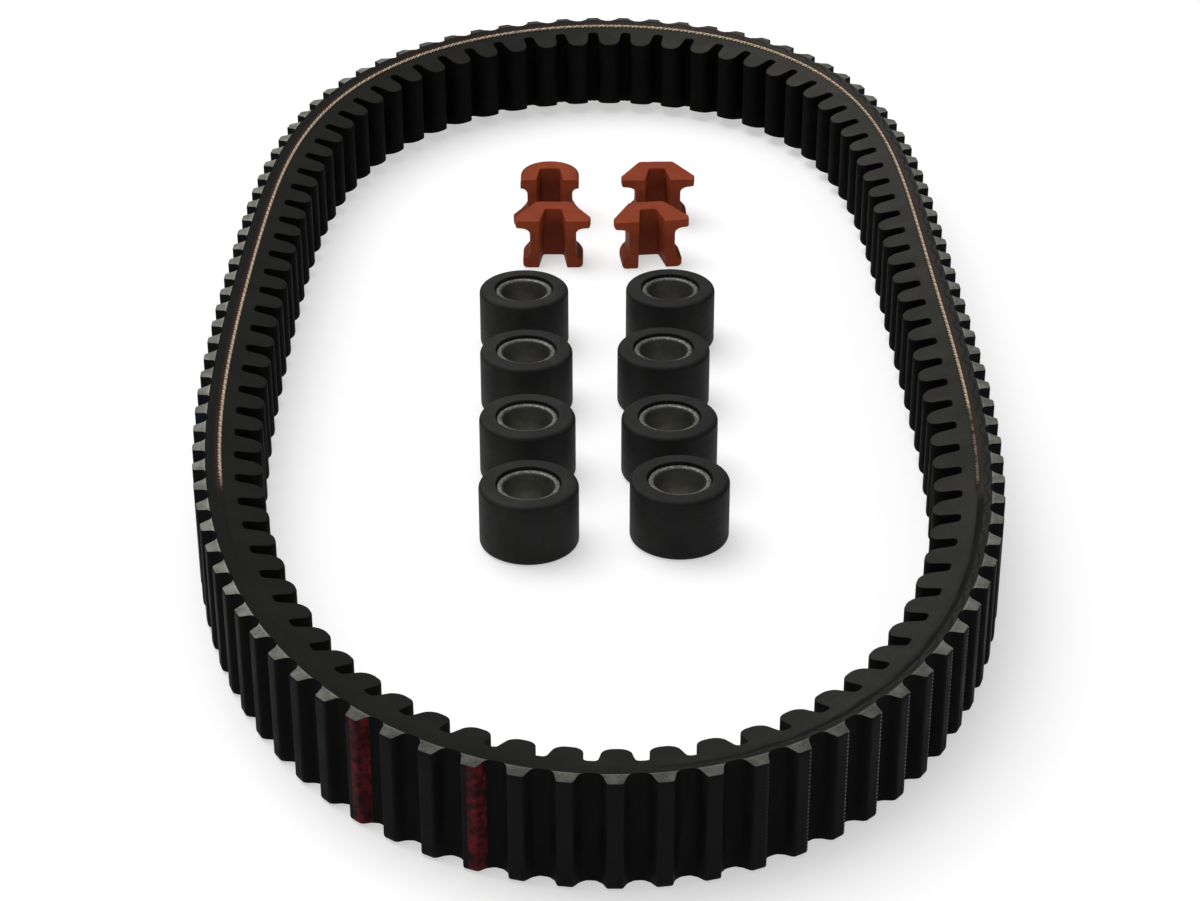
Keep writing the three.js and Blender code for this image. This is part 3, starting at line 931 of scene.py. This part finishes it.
def wing_front_outline():
    """Front view of the angular flange, as (x, z), with its underside swept down into the neck."""
    under = SHOE_HEIGHT - WING_THICKNESS
    neck = under - WING_FILLET
    reach = WING_TIP + 1
    curve = []
    for t in np.linspace(0, 1, 13):
        x = (1 - t) ** 2 * (WING_TIP - 0.6) + 2 * t * (1 - t) * NECK_HALF + t * t * NECK_HALF
        z = (1 - t) ** 2 * under + 2 * t * (1 - t) * under + t * t * neck
        curve.append((x, z))
    left = [(-x, z) for x, z in curve]
    over = SHOE_HEIGHT + 1
    return [(-reach, over), (-reach, under), *left, *curve[::-1], (reach, under), (reach, over)]


def foot_outline(inset, front):
    """Plan of the D-shaped flange, drawn in by an inset all round but at its flat front."""
    half = FOOT_HALF - inset
    arc = [(half * math.cos(a), FOOT_STRAIGHT + half * math.sin(a)) for a in np.linspace(0, math.pi, 49)]
    return [(-half, front), (half, front), *arc]


def neck_outline(flare, front):
    """Plan of the neck, spread by a flare at its sides and back."""
    half, depth = NECK_HALF + flare, NECK_DEPTH + flare
    return rounded_loop([
        (-half, front, 0), (half, front, 0),
        (half, depth - NECK_CHAMFER, 1.2), (half - NECK_CHAMFER, depth, 1.2),
        (NECK_CHAMFER - half, depth, 1.2), (-half, depth - NECK_CHAMFER, 1.2),
    ], steps=5)


def foot_fillet():
    """The hollow curve between the neck and the D-shaped flange."""
    front = 3 * FLUSH
    layers = [(neck_outline(FOOT_FILLET, front), FOOT_THICKNESS - 0.5)]
    for turn in np.linspace(0, math.pi / 2, 7):
        flare = FOOT_FILLET * (1 - math.sin(turn)) + 0.02
        place = FOOT_THICKNESS + FOOT_FILLET * (1 - math.cos(turn)) - 0.02
        layers.append((neck_outline(flare, front), place))
    fillet = loft("fillet", layers)
    within = foot_outline(0.1, -1)
    combine(fillet, "INTERSECT", loft("within", [(within, 0), (within, FOOT_THICKNESS + FOOT_FILLET + 1)]))
    return fillet


def slot_outline(mouth, back):
    """Plan of the slot from its half-widths at the mouth and at the back."""
    flare = mouth + (mouth - back) / SLOT_DEPTH
    return rounded_loop([
        (-flare, -1, 0), (flare, -1, 0), (back, SLOT_DEPTH, 0.7), (-back, SLOT_DEPTH, 0.7),
    ], steps=5)


def shoe_solid(name):
    wing_plan = rounded_loop([
        (-WING_FRONT, 0, 0.9), (WING_FRONT, 0, 0.9), (WING_TIP, WING_TIP_DEPTH, 1.6),
        (WING_REAR, WING_DEPTH, 1.5), (-WING_REAR, WING_DEPTH, 1.5), (-WING_TIP, WING_TIP_DEPTH, 1.6),
    ], steps=7)
    neck_plan = neck_outline(0, 2 * FLUSH)
    foot_layers = []
    for turn in np.linspace(0, math.pi / 2, 7):
        inset = FOOT_ROUND * (1 - math.sin(turn))
        foot_layers.append((foot_outline(inset, FLUSH), FOOT_ROUND * (1 - math.cos(turn))))
    foot_layers.append((foot_outline(0, FLUSH), FOOT_THICKNESS))
    under = SHOE_HEIGHT - WING_THICKNESS - WING_FILLET - 1
    shoe = loft(name, [(wing_plan, under), (wing_plan, SHOE_HEIGHT)])
    front_view = wing_front_outline()
    combine(shoe, "INTERSECT", loft("front", [(front_view, -1), (front_view, WING_DEPTH + 1)], upright=True))
    neck_top = SHOE_HEIGHT - WING_THICKNESS / 2
    combine(shoe, "UNION", loft("neck", [(neck_plan, FOOT_THICKNESS / 2), (neck_plan, neck_top)]))
    combine(shoe, "UNION", loft("foot", foot_layers))
    combine(shoe, "UNION", foot_fillet())
    slot_low, slot_high = slot_outline(*SLOT_AT_FOOT), slot_outline(*SLOT_AT_WING)
    combine(shoe, "DIFFERENCE", loft("slot", [(slot_low, -1), (slot_high, SHOE_HEIGHT + 1)]))
    return shoe


def shoe_material():
    """Moulded brick red polymer: soft mottling, faint flow lines, pale specks and dark grime, with painted
    light that makes it lighter towards the top and darker lower down and in the slots.
    """
    g = Graph("slider_polymer")
    fine = g.noise(0.35, detail=4)
    cloud = g.noise(4.5, detail=3)
    stretched = g.add("ShaderNodeMapping", {"Vector": g.place(), "Scale": (1, 1, 0.25)}).outputs[0]
    flow = g.noise(2.0, stretched, detail=4)
    grime = g.noise(1.3, detail=5, roughness=0.7)
    colour = g.mix(g.ramp(cloud, 0.35, 0.7), (0.195, 0.029, 0.0080), (0.235, 0.040, 0.0120))
    colour = g.mix(g.ramp(flow, 0.5, 0.8, 0.0, 0.35), colour, (0.260, 0.054, 0.018))
    colour = g.mix(g.ramp(fine, 0.58, 0.78, 0.0, 0.25), colour, (0.290, 0.074, 0.032))
    colour = g.mix(g.ramp(grime, 0.66, 0.80, 0.0, 0.45), colour, (0.070, 0.014, 0.007))
    # painted light: lighter towards the top and darker lower down, which also puts painted shade in the slots
    colour = g.scale(colour, g.ramp(g.axis(2), 9.5 * MM, 13.2 * MM, 0.78, 1.12))
    g.set(Base_Color=colour, Roughness=g.ramp(cloud, 0.3, 0.7, 0.55, 0.70))
    g.set(Specular_IOR_Level=0.12)
    soft = g.bump(flow, 0.15, 0.08)
    g.set(Normal=g.bump(fine, 0.2, 0.03, soft))
    return g.material


def make_shoes():
    material = shoe_material()
    for number, degrees in SHOE_TURNS.items():
        node = f"slider_{number}"
        shoe = shoe_solid(f"slider_{number}_fine")
        low, high = (np.array(corner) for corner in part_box(node))
        points = np.array([vertex.co for vertex in shoe.data.vertices])
        if number == FLIPPED_SHOE:
            points = points * (-1, 1, -1) + (0, 0, SHOE_HEIGHT * MM)
        turn = math.radians(degrees)
        x, y, z = points.T
        turned_x = x * math.cos(turn) - y * math.sin(turn)
        turned_y = x * math.sin(turn) + y * math.cos(turn)
        points = np.stack([turned_x, turned_y, z], -1)
        points += (low + high) / 2 - (points.min(0) + points.max(0)) / 2
        shoe.data.vertices.foreach_set("co", points.ravel())
        shoe.data.update()
        shoe.data.materials.clear()
        shoe.data.materials.append(material)
        skin = shoe.modifiers.new("skin", "REMESH")
        skin.mode = "VOXEL"
        skin.voxel_size = SHOE_GRAIN * MM
        soften = shoe.modifiers.new("soften", "SMOOTH")
        soften.factor = 0.5
        soften.iterations = SHOE_SOFTEN
        apply_modifiers(shoe)
        shoe.data.shade_smooth()
        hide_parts(node)
        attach(shoe, node)


# ------------------------------------------------------------------ stage

def make_stage():
    """A plain pale floor, one large soft light high at the rear left and a pale surround."""
    g = Graph("studio_floor")
    shade = g.mix(g.ramp(g.noise(900, detail=2), 0.3, 0.7), (0.55, 0.55, 0.55), (0.57, 0.57, 0.57))
    g.set(Base_Color=shade, Roughness=0.9)
    g.set(Specular_IOR_Level=0.1)
    g.set(Emission_Color=(1, 1, 1, 1))
    g.set(Emission_Strength=FLOOR_GLOW)
    mesh = bpy.data.meshes.new("floor")
    corners = [(x * FLOOR_REACH, y * FLOOR_REACH, 0) for x, y in ((-1, -1), (1, -1), (1, 1), (-1, 1))]
    mesh.from_pydata(corners, [], [(0, 1, 2, 3)])
    mesh.materials.append(g.material)
    floor = bpy.data.objects.new("floor", mesh)
    bpy.context.scene.collection.objects.link(floor)
    world = bpy.data.worlds.new("surround")
    world.use_nodes = True
    colour, strength = world.node_tree.nodes["Background"].inputs[:2]
    colour.default_value = (1, 1, 1, 1)
    strength.default_value = SURROUND
    bpy.context.scene.world = world
    middle = Vector(((CAD_BOX[0][0] + CAD_BOX[1][0]) / 2, (CAD_BOX[0][1] + CAD_BOX[1][1]) / 2, 0))
    for name, place, size, power in LIGHTS:
        light = bpy.data.lights.new(name, "AREA")
        light.size = size
        light.energy = power
        lamp = bpy.data.objects.new(name, light)
        lamp.location = place
        lamp.rotation_euler = (middle - Vector(place)).to_track_quat("-Z", "Y").to_euler()
        bpy.context.scene.collection.objects.link(lamp)


def make_camera():
    """In front of the near end of the loop, looking along +Y and down."""
    camera = bpy.data.cameras.new("camera")
    camera.sensor_width = 36
    camera.lens = CAMERA_LENS
    camera.clip_start = 0.01
    camera.clip_end = 100
    stand = bpy.data.objects.new("camera", camera)
    stand.location = [value * MM for value in CAMERA_PLACE]
    stand.rotation_euler = (math.radians(90 - CAMERA_DIP), 0, 0)
    bpy.context.scene.collection.objects.link(stand)
    bpy.context.scene.camera = stand


bpy.context.scene.view_settings.view_transform = "Standard"
make_camera()
make_stage()
make_belt()
make_rollers()
make_shoes()
